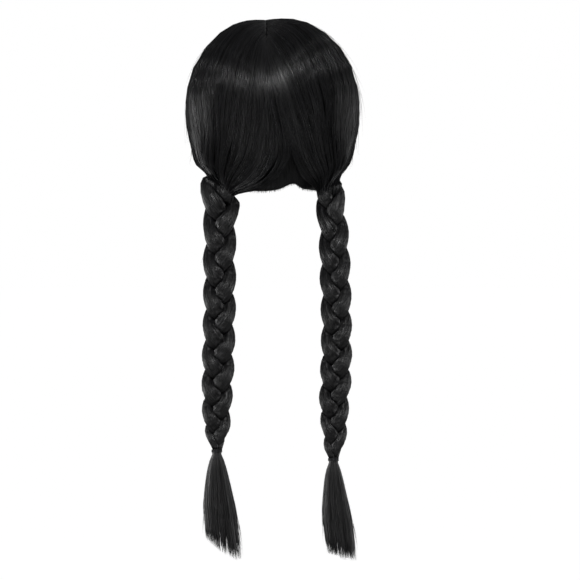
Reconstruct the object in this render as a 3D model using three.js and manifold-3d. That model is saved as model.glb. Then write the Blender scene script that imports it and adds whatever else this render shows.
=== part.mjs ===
import * as THREE from 'three';
import { mergeVertices } from 'three/addons/utils/BufferGeometryUtils.js';
import Module from 'manifold-3d';

// Pigtail wig: parted hair on a net cap, gathered at each side of the nape into a plait of three strands.
// Millimetres. X points to the wearer's right, Y to the face and Z up.
// The origin is the inside of the cap at the crown, where the head seats.

// The head that the cap fits
const headHalfWidth = 76;
const headBack = 95;
const headFront = 93;
const crownToWidest = 86;
const widestToNape = 92;
const domeRoundness = 2.1; // 2 is an ellipse and more is fuller

// The cap, and the hair that stands on it
const capWall = 1.8;
const hairLift = 1.6; // from the cap's face to the hair's roots
const hairAtSide = 14;
const hairAtBack = 10.5;
const hairAtFront = 8;
const hairAtCrown = 11;
const lockHeight = 1.6;
const sideOverlap = 2.2; // how far the side hair stands over the back hair beside it
const partingDip = 0.38; // of the hair's depth, lost beside the parting

// The parting, and the split above the nape
const partingGap = 2.4;
const partingSetOff = 6.5; // to the left of the middle
const splitSetOff = 23; // to the right of the middle
const partingTowardsFace = 60; // degrees from the crown
const partingTowardsBack = 46;
const stripWidth = 14;
const stripThickness = 0.8;
const stripLift = 0.5; // over the cap

// The plaits
const plaitWidth = 34.8;
const plaitDepth = 24;
const strandWidth = 20;
const strandDepth = 16;
const strandGap = 3.1; // between the strands where they pass each other
const strandOver = 0.17; // how far the strand in front reaches over the other, as a share of their distance
const endGap = 0.5; // between the gathered hair and the plait
const seamGap = 1.1; // between the back hair and the side hair
const gatherDrop = 12; // over this height the gathered hair turns down into the plait
const rootDepth = 0.95; // how far out in the hair's depth the plait starts
const plaitSwing = 26; // how much further back it hangs lower down
const leftPlaitLength = 279.5;
const rightPlaitLength = 288;
const leftFirstBulge = 3.5; // from the gathered end down to the first bulge at the outer side
const rightFirstBulge = 9.5;
const leftPitch = 117; // the length of a full turn of the strands at the top
const rightPitch = 112;
const leftPitchAtTie = 82;
const rightPitchAtTie = 80;

// The under-layer of hair that shows in the split above the nape
const napeTop = 1.37; // its upper edge, as a level like those of the hair lines
const napeThickness = 4;
const napeLift = 2.5; // from the head to the under-layer, over the cap's edge
const underShare = 0.45; // of the hair's depth, left for the under-layer

// The ties and the tails under them
const neckRadius = 4.8;
const neckGap = 0.4;
const neckAbove = 0.6; // the neck's top over the tie
const neckBelow = 2; // the neck's end under the tie
const tieWire = 1.05;
const tieTurns = 3;
const tailDepthShare = 0.62;
const leftTailLength = 115;
const rightTailLength = 106;
const leftTailWidth = 37;
const rightTailWidth = 33.5;
const leftTailShift = 8.5; // the tail's tip stands this far to the right of its tie
const rightTailShift = 9;
const lockTip = 0.7;
const lockShare = 0.46; // a lock's half width as a share of the tail's

const hairBlack = new THREE.Color(0.012, 0.012, 0.013);
const netBlack = new THREE.Color(0.02, 0.02, 0.021);
const scalpGrey = new THREE.Color(0.36, 0.31, 0.27);

// Below the widest level: half sizes as shares of those at the widest level.
// drop is a share of the way down to the nape.
const lowerShape = [
  { drop: 0.0, headSide: 1.0, headBack: 1.0, headFront: 1.0,
    hairSide: 1.0, hairBack: 1.0, hairFront: 1.0 },
  { drop: 0.22, headSide: 0.985, headBack: 0.98, headFront: 0.99,
    hairSide: 0.982, hairBack: 0.985, hairFront: 0.99 },
  { drop: 0.4, headSide: 0.94, headBack: 0.93, headFront: 0.95,
    hairSide: 0.948, hairBack: 0.95, hairFront: 0.95 },
  { drop: 0.55, headSide: 0.88, headBack: 0.86, headFront: 0.89,
    hairSide: 0.91, hairBack: 0.91, hairFront: 0.89 },
  { drop: 0.7, headSide: 0.8, headBack: 0.79, headFront: 0.82,
    hairSide: 0.865, hairBack: 0.865, hairFront: 0.83 },
  { drop: 0.85, headSide: 0.715, headBack: 0.725, headFront: 0.74,
    hairSide: 0.81, hairBack: 0.81, hairFront: 0.77 },
  { drop: 1.0, headSide: 0.64, headBack: 0.67, headFront: 0.67,
    hairSide: 0.77, hairBack: 0.755, hairFront: 0.71 },
];

// The lines that the hair follows, from the parting to where it is gathered.
// Each point is a turn, 0 at the back, 90 at the ear and 180 at the brow, and a level,
// 0 at the crown, 1 at the head's widest ring and 2 at the nape.
const hairLines = [
  { name: 'centre',
    points: [[0, partingTowardsBack / 90], [0, 0.8], [0, 1.1], [0, 1.36], [1, 1.58], [17, 1.87],
      [34, 1.99]] },
  { name: 'inner',
    points: [[0, 0.4], [9, 0.66], [15, 1.0], [19, 1.3], [26, 1.58], [38, 1.8], [48, 1.93]] },
  { name: 'outer',
    points: [[0, 0.12], [38, 0.44], [43, 0.88], [47, 1.22], [52, 1.5], [57, 1.72], [59, 1.88]] },
  { name: 'ear',
    points: [[180, 0.16], [98, 0.42], [88, 0.88], [84, 1.22], [77, 1.5], [69, 1.71], [62, 1.86]] },
  { name: 'temple',
    points: [[180, 0.42], [138, 0.58], [119, 0.92], [107, 1.24], [94, 1.5], [79, 1.69], [65, 1.84]] },
  { name: 'face',
    points: [[180, partingTowardsFace / 90], [160, 0.76], [141, 1.02], [127, 1.3], [111, 1.53], [90, 1.69],
      [68, 1.82]] },
];
const backShare = 0.4; // of the lines, counted from the centre: the rest is side hair
const lockCount = 7;

// The cap's edge, from the nape round one ear to the brow
const capEdge = [
  { turn: 0, level: 1.74 },
  { turn: 28, level: 1.72 },
  { turn: 48, level: 1.58 },
  { turn: 64, level: 1.34 },
  { turn: 80, level: 1.17 },
  { turn: 92, level: 1.2 },
  { turn: 103, level: 1.34 },
  { turn: 113, level: 1.3 },
  { turn: 128, level: 1.12 },
  { turn: 146, level: 0.87 },
  { turn: 164, level: partingTowardsFace / 90 + 0.02 },
  { turn: 180, level: partingTowardsFace / 90 - 0.02 },
];

// The under-layer's lower edge: its distance to the right of the middle, as a share of the head's
// half width, and its level
const napeEdge = [
  { aside: -0.34, level: 2.0 },
  { aside: -0.1, level: 2.005 },
  { aside: 0.1, level: 1.98 },
  { aside: 0.29, level: 1.915 },
  { aside: 0.43, level: 1.975 },
  { aside: 0.53, level: 1.988 },
  { aside: 0.62, level: 2.0 },
];

// How the plaits hang and how thick they are.
// The root is a turn and a level like those of the hair lines. In a route, at is a share of the plait's
// length, out of the root's distance from the middle, swing of the full swing and size of the full width.
const halves = [
  {
    name: 'left',
    sign: -1,
    rootTurn: 51.8,
    rootLevel: 1.935,
    plaitLength: leftPlaitLength,
    endSlope: 0.7, // the gathered end is higher at its outer side
    pullFrom: 0.74, // along a line, from here on the hair leaves the head for the gathered end
    firstBulge: leftFirstBulge,
    pitchAtRoot: leftPitch,
    pitchAtTie: leftPitchAtTie,
    route: [
      { at: 0.0, out: 0.999, swing: 0.0, size: 1.0 },
      { at: 0.04, out: 0.99, swing: 0.04, size: 1.26 },
      { at: 0.08, out: 0.985, swing: 0.12, size: 1.16 },
      { at: 0.15, out: 0.987, swing: 0.3, size: 1.04 },
      { at: 0.25, out: 0.998, swing: 0.55, size: 1.02 },
      { at: 0.5, out: 1.0, swing: 0.93, size: 1.01 },
      { at: 0.7, out: 1.027, swing: 1.0, size: 1.0 },
      { at: 0.86, out: 1.048, swing: 1.0, size: 0.9 },
      { at: 0.93, out: 1.048, swing: 0.99, size: 0.78 },
      { at: 0.955, out: 1.048, swing: 0.99, size: 0.64 },
      { at: 0.98, out: 1.048, swing: 0.98, size: 0.45 },
      { at: 1.0, out: 1.048, swing: 0.97, size: 0.33 },
    ],
    tailLength: leftTailLength,
    tailWidth: leftTailWidth,
    tailShift: leftTailShift,
    shortestLock: 0.8, // as a share of the longest, at the side away from the shift
  },
  {
    name: 'right',
    sign: 1,
    rootTurn: 57.7,
    rootLevel: 1.946,
    plaitLength: rightPlaitLength,
    endSlope: 0.34,
    pullFrom: 0.79,
    firstBulge: rightFirstBulge,
    pitchAtRoot: rightPitch,
    pitchAtTie: rightPitchAtTie,
    route: [
      { at: 0.0, out: 1.0, swing: 0.0, size: 0.893 },
      { at: 0.04, out: 1.008, swing: 0.04, size: 0.94 },
      { at: 0.08, out: 1.028, swing: 0.12, size: 0.92 },
      { at: 0.15, out: 1.07, swing: 0.3, size: 0.93 },
      { at: 0.25, out: 1.091, swing: 0.55, size: 0.96 },
      { at: 0.5, out: 1.122, swing: 0.93, size: 0.95 },
      { at: 0.7, out: 1.112, swing: 1.0, size: 0.97 },
      { at: 0.82, out: 1.08, swing: 1.0, size: 0.92 },
      { at: 0.9, out: 1.091, swing: 0.99, size: 0.79 },
      { at: 0.96, out: 1.08, swing: 0.98, size: 0.62 },
      { at: 0.985, out: 1.07, swing: 0.97, size: 0.44 },
      { at: 1.0, out: 1.07, swing: 0.97, size: 0.33 },
    ],
    tailLength: rightTailLength,
    tailWidth: rightTailWidth,
    tailShift: rightTailShift,
    shortestLock: 0.93,
  },
];

// How a tail widens from its neck to its full width, and how far of its shift it has moved
const tailShape = [
  { at: 0.0, spread: 0.0, shift: 0.0 },
  { at: 0.05, spread: 0.18, shift: 0.0 },
  { at: 0.15, spread: 0.42, shift: 0.03 },
  { at: 0.28, spread: 0.63, shift: 0.12 },
  { at: 0.4, spread: 0.78, shift: 0.22 },
  { at: 0.52, spread: 0.9, shift: 0.34 },
  { at: 0.75, spread: 1.0, shift: 0.62 },
  { at: 1.0, spread: 1.0, shift: 1.0 },
];

// How finely each piece is divided
const sheetRows = 16;
const backColumns = 10;
const sideColumns = 13;
const capColumns = 30;
const capRows = 9;
const stripRows = 14;
const napeRows = 6;
const napeColumns = 9;
const strandSides = 8;
const strandSteps = 48;
const tieSides = 14;
const tailLocks = 7;
const tailSteps = 6;
const tailSides = 6;

const radians = THREE.MathUtils.degToRad;
const mix = THREE.MathUtils.lerp;
const smooth = THREE.MathUtils.smoothstep;

// A smooth value from a table whose rows are in the order of their key.
function fromTable(rows, key, column, x) {
  const last = rows.length - 1;
  if (x <= rows[0][key]) return rows[0][column];
  if (x >= rows[last][key]) return rows[last][column];
  const i = rows.findIndex((row) => row[key] > x) - 1;
  const slopeAt = (k) => {
    const before = rows[Math.max(k - 1, 0)];
    const after = rows[Math.min(k + 1, last)];
    return (after[column] - before[column]) / (after[key] - before[key]);
  };
  const span = rows[i + 1][key] - rows[i][key];
  const t = (x - rows[i][key]) / span;
  const rise = rows[i + 1][column] - rows[i][column];
  const ease = t * t * (3 - 2 * t);
  const bend = t * (1 - t) * ((1 - t) * slopeAt(i) - t * slopeAt(i + 1)) * span;
  return rows[i][column] + rise * ease + bend;
}

const lowerArc = 50; // degrees of a direction below the horizon that stand for the nape's level

function direction(turn, level) {
  const lean = radians(level <= 1 ? 90 * level : 90 + lowerArc * (level - 1));
  const around = radians(turn);
  const out = Math.sin(lean);
  return new THREE.Vector3(Math.sin(around) * out, -Math.cos(around) * out, Math.cos(lean));
}

// A point at a height over the head: 0 is the head itself, and hair is a share of the hair's full depth.
function overHead(way, height, hair = 0) {
  const flat = Math.hypot(way.x, way.y) || 1e-9;
  const lean = Math.acos(THREE.MathUtils.clamp(way.z, -1, 1));
  const drop = Math.max(0, (THREE.MathUtils.radToDeg(lean) - 90) / lowerArc);
  const reach = drop > 0 ? 1 : Math.pow(Math.sin(lean), 2 / domeRoundness);
  const shapeOf = (column) => fromTable(lowerShape, 'drop', column, drop);
  const share = (column) => mix(shapeOf('head' + column), shapeOf('hair' + column), hair);
  const halfWidth = (headHalfWidth + height + hair * hairAtSide) * share('Side');
  const back = (headBack + height + hair * hairAtBack) * share('Back');
  const front = (headFront + height + hair * hairAtFront) * share('Front');
  const rise = drop > 0 ? 0 : Math.pow(Math.max(0, Math.cos(lean)), 2 / domeRoundness);
  return new THREE.Vector3(
    (way.x / flat) * halfWidth * reach,
    (way.y / flat) * (way.y < 0 ? back : front) * reach,
    (crownToWidest + height + hair * hairAtCrown) * rise - crownToWidest - widestToNape * drop,
  );
}

// A closed solid from its corners and triangles, turned to face outwards.
function solidFrom(corners, triangles) {
  const spot = (i) => corners[i];
  const volume = triangles.reduce(
    (sum, [a, b, c]) => sum + spot(a).dot(new THREE.Vector3().crossVectors(spot(b), spot(c))),
    0,
  );
  const index = triangles.flatMap(([a, b, c]) => (volume < 0 ? [a, c, b] : [a, b, c]));
  const geometry = new THREE.BufferGeometry().setFromPoints(corners);
  geometry.setIndex(index);
  geometry.computeVertexNormals();
  return geometry;
}

// A sheet with a thickness: pointAt(row, column, depth) has row and column from 0 to 1, and depth is
// 0 inside and 1 outside.
function sheetSolid(rows, columns, pointAt) {
  const corners = [];
  const triangles = [];
  const at = (i, j, outer) => (i * (columns + 1) + j) * 2 + outer;
  const quad = (a, b, c, d) => triangles.push([a, b, c], [a, c, d]);
  for (let i = 0; i <= rows; i++) {
    for (let j = 0; j <= columns; j++) {
      corners.push(pointAt(i / rows, j / columns, 0), pointAt(i / rows, j / columns, 1));
    }
  }
  for (let i = 0; i < rows; i++) {
    for (let j = 0; j < columns; j++) {
      quad(at(i, j, 1), at(i + 1, j, 1), at(i + 1, j + 1, 1), at(i, j + 1, 1));
      quad(at(i, j, 0), at(i, j + 1, 0), at(i + 1, j + 1, 0), at(i + 1, j, 0));
    }
    quad(at(i, 0, 0), at(i + 1, 0, 0), at(i + 1, 0, 1), at(i, 0, 1));
    quad(at(i, columns, 0), at(i, columns, 1), at(i + 1, columns, 1), at(i + 1, columns, 0));
  }
  for (let j = 0; j < columns; j++) {
    quad(at(0, j, 1), at(0, j + 1, 1), at(0, j + 1, 0), at(0, j, 0));
    quad(at(rows, j, 0), at(rows, j + 1, 0), at(rows, j + 1, 1), at(rows, j, 1));
  }
  return solidFrom(corners, triangles);
}

// A solid through rings of corners, closed by a flat end at each side.
// Each four-sided face is folded along the diagonal that lies deeper, so that neighbours stay clear.
function ringSolid(rings) {
  const sides = rings[0].length;
  const corners = rings.flat();
  const triangles = [];
  for (let i = 0; i < rings.length - 1; i++) {
    const middle = new THREE.Vector3();
    for (const corner of [...rings[i], ...rings[i + 1]]) middle.addScaledVector(corner, 0.5 / sides);
    const reach = (p, q) => corners[p].clone().lerp(corners[q], 0.5).distanceTo(middle);
    for (let j = 0; j < sides; j++) {
      const a = i * sides + j;
      const b = i * sides + ((j + 1) % sides);
      const c = b + sides;
      const d = a + sides;
      if (reach(a, c) < reach(b, d)) triangles.push([a, b, c], [a, c, d]);
      else triangles.push([a, b, d], [b, c, d]);
    }
  }
  for (const [start, turned] of [[0, true], [(rings.length - 1) * sides, false]]) {
    for (let j = 1; j < sides - 1; j++) {
      triangles.push(turned ? [start, start + j + 1, start + j] : [start, start + j, start + j + 1]);
    }
  }
  return solidFrom(corners, triangles);
}

const wasm = await Module();
wasm.setup();

// Several closed geometries joined into one.
function joined(geometries) {
  const solids = geometries.map((geometry) => {
    const bare = new THREE.BufferGeometry().setAttribute('position', geometry.getAttribute('position'));
    bare.setIndex(geometry.getIndex());
    const merged = mergeVertices(bare);
    return new wasm.Manifold(
      new wasm.Mesh({
        numProp: 3,
        vertProperties: Float32Array.from(merged.getAttribute('position').array),
        triVerts: Uint32Array.from(merged.getIndex().array),
      }),
    );
  });
  const mesh = solids.reduce((whole, solid) => whole.add(solid)).getMesh();
  const geometry = new THREE.BufferGeometry();
  geometry.setAttribute('position', new THREE.BufferAttribute(mesh.vertProperties, 3));
  geometry.setIndex(new THREE.BufferAttribute(mesh.triVerts, 1));
  geometry.computeVertexNormals();
  return geometry;
}

// The cap: a net dome with an edge that rises over the ears and the brow.
function capGeometry() {
  const corners = [];
  const triangles = [];
  const ring = (row, height) => {
    const start = corners.length;
    for (let j = 0; j < capColumns; j++) {
      const around = (360 * j) / capColumns;
      const edge = fromTable(capEdge, 'turn', 'level', around > 180 ? 360 - around : around);
      corners.push(overHead(direction(around, (edge * row) / capRows), height));
    }
    return start;
  };
  const band = (a, b) => {
    for (let j = 0; j < capColumns; j++) {
      const next = (j + 1) % capColumns;
      triangles.push([a + j, a + next, b + next], [a + j, b + next, b + j]);
    }
  };
  const pole = (height, start, turned) => {
    corners.push(overHead(direction(0, 0), height));
    const top = corners.length - 1;
    for (let j = 0; j < capColumns; j++) {
      const next = (j + 1) % capColumns;
      triangles.push(turned ? [top, start + next, start + j] : [top, start + j, start + next]);
    }
  };
  const outer = Array.from({ length: capRows }, (_, i) => ring(i + 1, capWall));
  const inner = Array.from({ length: capRows }, (_, i) => ring(i + 1, 0));
  pole(capWall, outer[0], true);
  pole(0, inner[0], false);
  for (let i = 0; i < capRows - 1; i++) {
    band(outer[i], outer[i + 1]);
    band(inner[i + 1], inner[i]);
  }
  band(outer[capRows - 1], inner[capRows - 1]);
  return solidFrom(corners, triangles);
}

// The parting leans to the left of the middle and the split at the nape to the right of it.
function setOffAt(way) {
  const down = smooth(-way.z, -0.75, 0.72);
  return mix(-partingSetOff, splitSetOff, down) / (headHalfWidth + hairAtSide);
}

function leaned(way, extra) {
  const fade = (1 - Math.abs(way.x)) ** 2;
  return new THREE.Vector3(way.x + setOffAt(way) * fade + extra, way.y, way.z).normalize();
}

const stations = hairLines[0].points.map((_, i) =>
  new THREE.CatmullRomCurve3(hairLines.map((line) => direction(...line.points[i]))),
);

// One line of hair, as directions from the head's middle: across is 0 at the back's centre and 1 at the face.
function flowLine(across) {
  return new THREE.CatmullRomCurve3(stations.map((curve) => curve.getPoint(across)));
}

// Where a half's hair is gathered: across runs from the inner side to the outer, and depth to the back.
function gatherPoint(half, across, depth) {
  const reach = 2 * across - 1;
  const size = half.route[0].size;
  const deep = (plaitDepth / 2) * size * Math.sqrt(1 - 0.8 * reach * reach);
  const aside = (plaitWidth / 2) * size * reach;
  const centre = plaitCentre(half, 0);
  return new THREE.Vector3(
    centre.x + half.sign * aside,
    centre.y - deep * (2 * depth - 1),
    centre.z + half.endSlope * aside + endGap,
  );
}

// How thick the hair is, as a share of its full depth, and where its inner face lies.
function hairDepth(raw, way, across, along) {
  const fromParting = raw.x * (headHalfWidth + hairAtSide);
  const fromSplit = Math.abs(way.x - splitSetOff / 2 / headHalfWidth);
  const partingEdge = 1 - smooth(along, 0, 0.12);
  const splitEdge = (1 - smooth(across, 0, 0.1)) * smooth(along, 0.55, 0.7);
  const faceEdge = smooth(across, 0.84, 1);
  const lock = Math.sin(Math.PI * lockCount * across) ** 2 * smooth(along, 0.12, 0.4);
  const overlap = smooth(across, backShare, backShare + 0.02) * (1 - smooth(across, backShare + 0.08, 0.75));
  const relief = (lockHeight * (lock - 0.5) + sideOverlap * overlap * smooth(along, 0.45, 0.7)) / hairAtSide;
  const edge = Math.max(splitEdge, faceEdge);
  const thinned = (1 - partingDip * partingEdge) * (1 - 0.35 * splitEdge ** 2) * (1 - 0.7 * faceEdge ** 2);
  const outer = thinned + relief * (1 - edge);
  const overStrip = (1 - smooth(fromParting / stripWidth, 1.15, 2.4)) * smooth(raw.z, 0.25, 0.6);
  const strip = ((stripThickness + stripLift) / hairAtCrown) * overStrip;
  const under = underShare * (1 - smooth(fromSplit, 0.46, 0.62)) * smooth(-raw.z, 0.2, 0.36);
  return { inner: strip + under, outer };
}

// A point of a half's hair: along runs from the parting to the gathered end.
function hairPoint(half, across, along, depth) {
  const raw = flowLine(across).getPoint(along);
  raw.x = Math.max(raw.x, 0);
  const partingEdge = 1 - smooth(along, 0, 0.1);
  const opening = mix(seamGap / 2, partingGap / 2, partingEdge);
  const fade = Math.max(partingEdge, 1 - smooth(across, 0, 0.1));
  raw.x += (opening * fade) / (headHalfWidth + hairAtSide);
  const way = leaned(new THREE.Vector3(half.sign * raw.x, raw.y, raw.z), 0);
  const { inner, outer } = hairDepth(raw, way, across, along);
  const onHead = overHead(way, capWall + hairLift, mix(inner, outer, depth));
  const pull = smooth(along, half.pullFrom, 1) ** 1.5;
  const gathered = gatherPoint(half, across, depth);
  gathered.z += gatherDrop * (1 - smooth(along, 0.8, 1));
  return onHead.lerp(gathered, pull);
}

function hairGeometry(half, from, to, columns) {
  const step = 0.02;
  const inset = (along, seam) => {
    const before = hairPoint(half, seam - step, along, 0);
    const after = hairPoint(half, seam + step, along, 0);
    const wider = 1 + smooth(along, 0.75, 1);
    return (seamGap / 2) * wider * ((2 * step) / before.distanceTo(after));
  };
  return sheetSolid(sheetRows, columns, (along, share, depth) => {
    const start = from > 0 ? from + inset(along, from) : from;
    const end = to < 1 ? to - inset(along, to) : to;
    return hairPoint(half, mix(start, end, share), along, depth);
  });
}

// The strip that shows in the parting, bent over the cap from the back of the crown to the brow.
function stripGeometry() {
  return sheetSolid(stripRows, 2, (along, share, depth) => {
    const angle = mix(-partingTowardsBack, partingTowardsFace, along);
    const way = direction(angle < 0 ? 0 : 180, Math.abs(angle) / 90);
    const aside = (stripWidth * (share - 0.5)) / (headHalfWidth + hairAtSide);
    return overHead(leaned(way, aside), capWall + stripLift + depth * stripThickness);
  });
}

// The under-layer at the nape: a short curtain of hair inside the split.
function napeGeometry() {
  const first = napeEdge[0].aside;
  const last = napeEdge[napeEdge.length - 1].aside;
  const middle = splitSetOff / 2 / headHalfWidth;
  return sheetSolid(napeRows, napeColumns, (along, share, depth) => {
    const below = mix(first, last, share);
    const aside = headHalfWidth * mix(middle, below, mix(0.7, 1, along));
    const level = mix(napeTop, fromTable(napeEdge, 'aside', 'level', below), along);
    const height = napeLift + depth * napeThickness * mix(1, 0.6, along);
    const wide = (headHalfWidth + height) * fromTable(lowerShape, 'drop', 'headSide', level - 1);
    return overHead(direction(THREE.MathUtils.radToDeg(Math.asin(aside / wide)), level), height);
  });
}

// The middle of a tie.
function tiePlace(half) {
  return plaitCentre(half, 1).add(new THREE.Vector3(0, 0, -(tieWire * tieTurns) / 2 - neckAbove - neckGap));
}

function plaitCentre(half, at) {
  const root = overHead(direction(half.rootTurn, half.rootLevel), capWall + hairLift, rootDepth);
  return new THREE.Vector3(
    half.sign * root.x * fromTable(half.route, 'at', 'out', at),
    root.y - plaitSwing * fromTable(half.route, 'at', 'swing', at),
    root.z - half.plaitLength * at,
  );
}

// How far a plait has turned at a share of its length. Its pitch shortens towards the tie.
function plaitTurn(half, at) {
  const { pitchAtRoot, pitchAtTie, plaitLength } = half;
  const pitch = mix(pitchAtRoot, pitchAtTie, at);
  return ((2 * Math.PI * plaitLength) / (pitchAtTie - pitchAtRoot)) * Math.log(pitch / pitchAtRoot);
}

// The middle of a strand, in half strand sizes from the plait's own middle: out to the side and to the back.
function strandSway(half, strand, at) {
  const start = Math.PI / 2 - plaitTurn(half, half.firstBulge / half.plaitLength);
  const turn = start + plaitTurn(half, at) + (2 * Math.PI * strand) / 3;
  return new THREE.Vector2(
    ((plaitWidth - strandWidth) / strandWidth) * Math.sin(turn),
    -((plaitDepth - strandDepth) / strandDepth) * Math.sin(2 * turn),
  );
}

// A level section of a strand: an ellipse, pressed flat where it meets the other two.
function strandRing(half, strand, at) {
  const centre = plaitCentre(half, at);
  const size = fromTable(half.route, 'at', 'size', at);
  const own = strandSway(half, strand, at);
  const others = [1, 2].map((k) => strandSway(half, (strand + k) % 3, at).sub(own));
  const levelled = 1 - smooth(at, 0, 0.12);
  return Array.from({ length: strandSides }, (_, j) => {
    const around = (2 * Math.PI * j) / strandSides;
    const way = new THREE.Vector2(Math.cos(around), Math.sin(around));
    let reach = 1;
    for (const other of others) {
      const apart = other.length();
      const facing = way.dot(other) / apart;
      const ahead = Math.max(-1, Math.min(1, -other.y / 0.6));
      const room = apart * (0.5 + strandOver * ahead) - strandGap / strandDepth;
      if (facing > 0) reach = Math.min(reach, room / facing);
    }
    const spot = own.clone().addScaledVector(way, reach);
    const aside = spot.x * (strandWidth / 2) * size;
    return new THREE.Vector3(
      centre.x + half.sign * aside,
      centre.y - spot.y * (strandDepth / 2) * size,
      centre.z + half.endSlope * aside * levelled,
    );
  });
}

// Rings stand closer together where the pitch is shorter.
function strandGeometry(half, strand) {
  const shortening = half.pitchAtTie / half.pitchAtRoot;
  const rings = Array.from({ length: strandSteps + 1 }, (_, i) => {
    const at = (shortening ** (i / strandSteps) - 1) / (shortening - 1);
    return strandRing(half, strand, at);
  });
  return ringSolid(rings);
}

// A tie: a few turns of thin elastic, side by side.
function tieGeometry(half) {
  const inner = neckRadius + neckGap;
  const arcSteps = 3;
  const tall = tieWire * tieTurns;
  const profile = [new THREE.Vector2(inner, -tall / 2)];
  for (let turn = 0; turn < tieTurns; turn++) {
    for (let i = 0; i <= arcSteps; i++) {
      const bend = Math.PI * (i / arcSteps - 0.5);
      const level = (turn + 0.5 + Math.sin(bend) / 2) * tieWire - tall / 2;
      const reach = inner + tieWire * (0.3 + 0.7 * Math.cos(bend));
      if (i > 0 || turn === 0) profile.push(new THREE.Vector2(reach, level));
    }
  }
  profile.push(new THREE.Vector2(inner, tall / 2), new THREE.Vector2(inner, -tall / 2));
  const centre = tiePlace(half);
  const geometry = new THREE.LatheGeometry(profile, tieSides);
  geometry.rotateX(Math.PI / 2);
  geometry.translate(centre.x, centre.y, centre.z);
  return geometry;
}

// A tail: tapered locks fused at the neck that the tie holds.
function tailGeometry(half) {
  const tie = tiePlace(half);
  const neckTop = tie.z + (tieWire * tieTurns) / 2 + neckAbove;
  const neckEnd = tie.z - (tieWire * tieTurns) / 2 - neckBelow;
  const locks = Array.from({ length: tailLocks }, (_, lock) => {
    const around = (2 * Math.PI * lock) / (tailLocks - 1);
    const middle = lock === tailLocks - 1;
    const place = new THREE.Vector2(middle ? 0 : Math.cos(around), middle ? 0 : Math.sin(around));
    const ragged = 1 - 0.04 * (lock % 2);
    const hang = (neckEnd - tie.z + half.tailLength) * mix(half.shortestLock, 1, (place.x + 1) / 2) * ragged;
    const levels = [neckTop];
    for (let i = 0; i <= tailSteps; i++) levels.push(neckEnd - hang * (i / tailSteps) ** 1.25);
    const rings = levels.map((level) => {
      const at = Math.max(0, (neckEnd - level) / (neckEnd - tie.z + half.tailLength));
      const ended = Math.max(0, (neckEnd - level) / hang);
      const wide = mix(neckRadius, half.tailWidth / 2, fromTable(tailShape, 'at', 'spread', at));
      const thick = Math.max(lockTip, lockShare * wide * (1 - smooth(ended, 0.7, 1)));
      const fan = wide * (1 - lockShare);
      const deep = mix(1, tailDepthShare, smooth(at, 0, 0.3));
      const shift = half.tailShift * fromTable(tailShape, 'at', 'shift', at);
      return Array.from({ length: tailSides }, (_, j) => {
        const turn = (2 * Math.PI * j) / tailSides;
        return new THREE.Vector3(
          tie.x + shift + place.x * fan + thick * Math.cos(turn),
          tie.y + (place.y * fan + thick * Math.sin(turn)) * deep,
          level,
        );
      });
    });
    return ringSolid(rings);
  });
  return joined(locks);
}

const hairFinish = new THREE.MeshStandardMaterial({ color: hairBlack, roughness: 0.38, metalness: 0 });
const netFinish = new THREE.MeshStandardMaterial({ color: netBlack, roughness: 0.9, metalness: 0 });
const stripFinish = new THREE.MeshStandardMaterial({ color: scalpGrey, roughness: 0.7, metalness: 0 });
const elasticFinish = new THREE.MeshStandardMaterial({ color: netBlack, roughness: 0.45, metalness: 0 });

const wig = new THREE.Group();

function place(name, geometry, material) {
  const mesh = new THREE.Mesh(geometry, material);
  mesh.name = name;
  wig.add(mesh);
}

place('cap', capGeometry(), netFinish);
place('parting_strip', stripGeometry(), stripFinish);
place('nape_hair', napeGeometry(), hairFinish);
for (const half of halves) {
  place('hair_back_' + half.name, hairGeometry(half, 0, backShare, backColumns), hairFinish);
  place('hair_side_' + half.name, hairGeometry(half, backShare, 1, sideColumns), hairFinish);
  for (let strand = 0; strand < 3; strand++) {
    place('plait_' + half.name + '_strand_' + (strand + 1), strandGeometry(half, strand), hairFinish);
  }
  place('tie_' + half.name, tieGeometry(half), elasticFinish);
  place('tail_' + half.name, tailGeometry(half), hairFinish);
}

export default wig;
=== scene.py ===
import math
import bpy
import numpy as np
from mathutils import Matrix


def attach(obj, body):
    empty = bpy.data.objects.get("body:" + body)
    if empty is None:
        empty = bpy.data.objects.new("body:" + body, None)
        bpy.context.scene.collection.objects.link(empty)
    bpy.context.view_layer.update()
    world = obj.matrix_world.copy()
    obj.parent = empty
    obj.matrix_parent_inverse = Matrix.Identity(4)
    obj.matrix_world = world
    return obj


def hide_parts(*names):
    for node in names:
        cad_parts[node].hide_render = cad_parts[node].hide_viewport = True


# The looks of the pigtail wig: combed black hair on a net cap, two plaits, their ties and tails.
# Shapes are worked out in millimetres, as the frame's pieces are, and turned to metres as they are built.

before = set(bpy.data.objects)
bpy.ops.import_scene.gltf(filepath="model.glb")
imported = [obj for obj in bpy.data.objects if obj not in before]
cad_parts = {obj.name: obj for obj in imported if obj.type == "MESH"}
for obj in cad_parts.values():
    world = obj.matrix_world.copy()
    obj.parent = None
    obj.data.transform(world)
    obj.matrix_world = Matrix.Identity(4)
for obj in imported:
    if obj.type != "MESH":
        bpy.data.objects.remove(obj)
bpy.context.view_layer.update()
print("frame loaded:", len(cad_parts), "nodes")

mm = 0.001

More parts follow.
